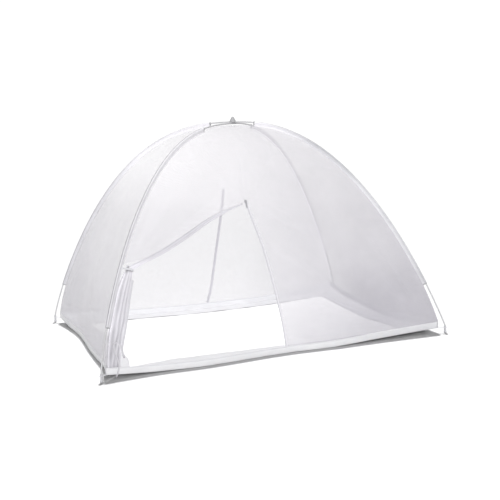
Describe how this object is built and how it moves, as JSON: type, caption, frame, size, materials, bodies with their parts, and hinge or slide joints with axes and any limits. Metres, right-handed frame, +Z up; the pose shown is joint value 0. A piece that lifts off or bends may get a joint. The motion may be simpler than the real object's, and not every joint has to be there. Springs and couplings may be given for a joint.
{
  "type": "mosquito net canopy with arched pole frame",
  "caption": "Dome-shaped mosquito net on two crossed arched poles, rectangular base, one front door panel unzipped and tied back to a corner pole.",
  "frame": {"origin": "on the floor, under the middle of the base rectangle", "axes": "+X along the front from the tied-back side to the closed side, front faces -Y, +Z up"},
  "size_m": [2.098, 1.4756, 1.3146],
  "materials": {
    "net": "sheer white polyester net",
    "border_cloth": "closely woven white cloth",
    "sleeve_cloth": "closely woven off-white cloth",
    "rod": "pale glass-fibre rod",
    "cap": "grey moulded plastic",
    "clip": "dark grey moulded plastic",
    "tape": "woven zip tape",
    "slider": "dark zip slider"
  },
  "bodies": {
    "root": {"net_front": "net", "net_back": "net", "net_left": "net", "net_right": "net", "door_flap": "net", "border_front": "border_cloth", "border_back": "border_cloth", "border_left": "border_cloth", "border_right": "border_cloth", "sleeve_front_left": "sleeve_cloth", "sleeve_front_right": "sleeve_cloth", "sleeve_back_left": "sleeve_cloth", "sleeve_back_right": "sleeve_cloth", "pole_upper": "rod", "pole_lower": "rod", "foot_cap_front_left": "cap", "foot_cap_front_right": "cap", "foot_cap_back_left": "cap", "foot_cap_back_right": "cap", "strap_front_left": "border_cloth", "strap_front_right": "border_cloth", "strap_back_left": "border_cloth", "strap_back_right": "border_cloth", "crown_clip": "clip", "zip_front": "tape", "zip_back": "tape", "zip_flap": "tape", "tie_back": "tape", "slider_front": "slider", "slider_back": "slider"}
  },
  "joints": []
}
